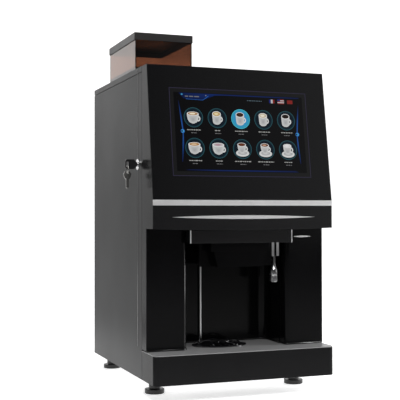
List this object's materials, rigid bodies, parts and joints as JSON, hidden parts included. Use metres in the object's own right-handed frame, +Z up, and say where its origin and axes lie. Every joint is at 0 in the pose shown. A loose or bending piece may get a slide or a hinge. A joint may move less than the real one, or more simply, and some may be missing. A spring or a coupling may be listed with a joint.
{
  "type": "coffee vending machine",
  "caption": "Countertop bean-to-cup coffee vending machine with a slanted touch-screen door, cup alcove with dispensing head, pull-out drip tray and bean hopper.",
  "frame": {"origin": "middle of the machine's overall footprint, on the floor under its feet", "axes": "+Z up, the screen faces -Y, +X to the right as seen from the front"},
  "size_m": [0.5188, 0.5972, 0.9174],
  "materials": {
    "side_paint": "satin graphite powder coat",
    "door_paint": "satin graphite paint",
    "rear_steel": "satin powder coat",
    "pan_steel": "galvanised",
    "cover_paint": "satin graphite powder coat",
    "black_glass": "glossy black glass",
    "screen": "display module",
    "silver_strip": "anodised",
    "band_black": "gloss black",
    "piano_black": "gloss black moulding",
    "chrome": "polished",
    "tray_black": "satin black",
    "tray_top": "satin grey",
    "pan_plastic": "black moulding",
    "grid_black": "glossy black",
    "smoked": "smoked amber",
    "lid_black": "satin black",
    "liner_grey": "inner moulding",
    "foot_rubber": "black rubber and plastic",
    "zinc": "zinc plated",
    "key_plastic": "black key bow",
    "key_steel": "nickel plated",
    "works_plastic": "moulded works",
    "works_clear": "powder canister plastic",
    "works_metal": "cast housing",
    "boiler_steel": "boiler shell",
    "hose_silicone": "silicone hose",
    "inlet_black": "mains inlet moulding"
  },
  "bodies": {
    "cabinet": {"base_pan": "pan_steel", "left_side_panel": "side_paint", "right_side_panel": "side_paint", "rear_panel": "rear_steel", "top_cover": "cover_paint", "inner_shelf": "pan_steel", "cabinet_screws": "zinc", "alcove_liner": "piano_black", "head_housing": "pan_plastic", "spout_body": "piano_black", "head_front_plate": "band_black", "guide_rod": "chrome", "hot_water_nozzle": "chrome", "hot_water_hose": "hose_silicone", "cabinet_hinges": "zinc", "lock_barrel": "chrome", "bean_hopper": "smoked", "grinder_body": "works_metal", "brewer_body": "works_plastic", "powder_canisters": "works_clear", "mixing_bowl": "works_plastic", "waste_bin": "pan_plastic", "boiler": "boiler_steel", "water_pump": "works_plastic", "electrical_box": "pan_steel", "power_inlet": "inlet_black", "fan_frame": "pan_plastic"},
    "drip_tray": {"tray_housing": "tray_black", "tray_cover": "tray_top", "drip_pan": "pan_plastic"},
    "grid": {"cup_grid": "grid_black"},
    "door": {"door_frame": "door_paint", "door_liner": "liner_grey", "fascia_glass": "black_glass", "display_module": "screen", "trim_strip": "silver_strip", "band_panel": "band_black", "left_pillar": "piano_black", "right_pillar": "piano_black", "hood": "band_black", "chrome_trims": "chrome", "door_hinges": "zinc"},
    "lock": {"lock_plug": "chrome", "door_key": "key_plastic"},
    "ring": {"key_ring": "key_steel"},
    "spare": {"spare_key": "key_steel"},
    "gate": {"hopper_gate": "works_plastic"},
    "lid": {"hopper_lid": "lid_black"},
    "burr": {"grinder_burr": "zinc"},
    "piston": {"brewer_piston": "works_plastic"},
    "auger_1": {"auger_1": "works_plastic"},
    "auger_2": {"auger_2": "works_plastic"},
    "auger_3": {"auger_3": "works_plastic"},
    "impeller": {"whipper_impeller": "works_plastic"},
    "rocker": {"rocker_switch": "inlet_black"},
    "rotor": {"fan_rotor": "pan_plastic"},
    "foot_front_left": {"foot_front_left": "foot_rubber"},
    "foot_front_right": {"foot_front_right": "foot_rubber"},
    "foot_rear_left": {"foot_rear_left": "foot_rubber"},
    "foot_rear_right": {"foot_rear_right": "foot_rubber"}
  },
  "joints": [
    {"name": "door_hinge", "type": "hinge", "parent": "cabinet", "child": "door", "pos_m": [0.2549, -0.19805, 0.4], "axis": [0, 0, 1], "range_deg": [0, 115]},
    {"name": "tray_slide", "type": "slide", "parent": "cabinet", "child": "drip_tray", "axis": [0, -1, 0], "range_m": [0, 0.12]},
    {"name": "grid_lift", "type": "slide", "parent": "drip_tray", "child": "grid", "axis": [0, 0, 1], "range_m": [0, 0.04]},
    {"name": "lock_turn", "type": "hinge", "parent": "cabinet", "child": "lock", "pos_m": [-0.2206, -0.17195, 0.564], "axis": [1, 0, 0], "range_deg": [0, 90]},
    {"name": "ring_swing", "type": "hinge", "parent": "lock", "child": "ring", "pos_m": [-0.2494, -0.17195, 0.5596], "axis": [0, 1, 0], "range_deg": [-15, 60]},
    {"name": "spare_key_swing", "type": "hinge", "parent": "ring", "child": "spare", "pos_m": [-0.2494, -0.17195, 0.5436], "axis": [0, 1, 0], "range_deg": [-20, 45]},
    {"name": "gate_slide", "type": "slide", "parent": "cabinet", "child": "gate", "axis": [0, 1, 0], "range_m": [0, 0.054]},
    {"name": "lid_lift", "type": "slide", "parent": "cabinet", "child": "lid", "axis": [0, 0, 1], "range_m": [0, 0.08]},
    {"name": "burr_spin", "type": "hinge", "parent": "cabinet", "child": "burr", "pos_m": [-0.1096, 0.09685, 0.7], "axis": [0, 0, 1], "continuous": true},
    {"name": "piston_slide", "type": "slide", "parent": "cabinet", "child": "piston", "axis": [0, 0, 1], "range_m": [0, 0.05]},
    {"name": "impeller_spin", "type": "hinge", "parent": "cabinet", "child": "impeller", "pos_m": [0.0994, 0.00305, 0.47], "axis": [0, 1, 0], "continuous": true},
    {"name": "rocker_tilt", "type": "hinge", "parent": "cabinet", "child": "rocker", "pos_m": [-0.1356, 0.27655, 0.127], "axis": [1, 0, 0], "range_deg": [-7, 7]},
    {"name": "fan_spin", "type": "hinge", "parent": "cabinet", "child": "rotor", "pos_m": [0.0994, 0.26805, 0.66], "axis": [0, 1, 0], "continuous": true},
    {"name": "auger_1_spin", "type": "hinge", "parent": "cabinet", "child": "auger_1", "pos_m": [0.0194, 0.11305, 0.579], "axis": [0, 1, 0], "continuous": true},
    {"name": "auger_2_spin", "type": "hinge", "parent": "cabinet", "child": "auger_2", "pos_m": [0.0994, 0.11305, 0.579], "axis": [0, 1, 0], "continuous": true},
    {"name": "auger_3_spin", "type": "hinge", "parent": "cabinet", "child": "auger_3", "pos_m": [0.1794, 0.11305, 0.579], "axis": [0, 1, 0], "continuous": true},
    {"name": "foot_front_left_turn", "type": "hinge", "parent": "cabinet", "child": "foot_front_left", "pos_m": [-0.1756, -0.15635, 0], "axis": [0, 0, 1], "continuous": true},
    {"name": "foot_front_right_turn", "type": "hinge", "parent": "cabinet", "child": "foot_front_right", "pos_m": [0.2044, -0.15635, 0], "axis": [0, 0, 1], "continuous": true},
    {"name": "foot_rear_left_turn", "type": "hinge", "parent": "cabinet", "child": "foot_rear_left", "pos_m": [-0.1756, 0.24975, 0], "axis": [0, 0, 1], "continuous": true},
    {"name": "foot_rear_right_turn", "type": "hinge", "parent": "cabinet", "child": "foot_rear_right", "pos_m": [0.2044, 0.24975, 0], "axis": [0, 0, 1], "continuous": true}
  ]
}
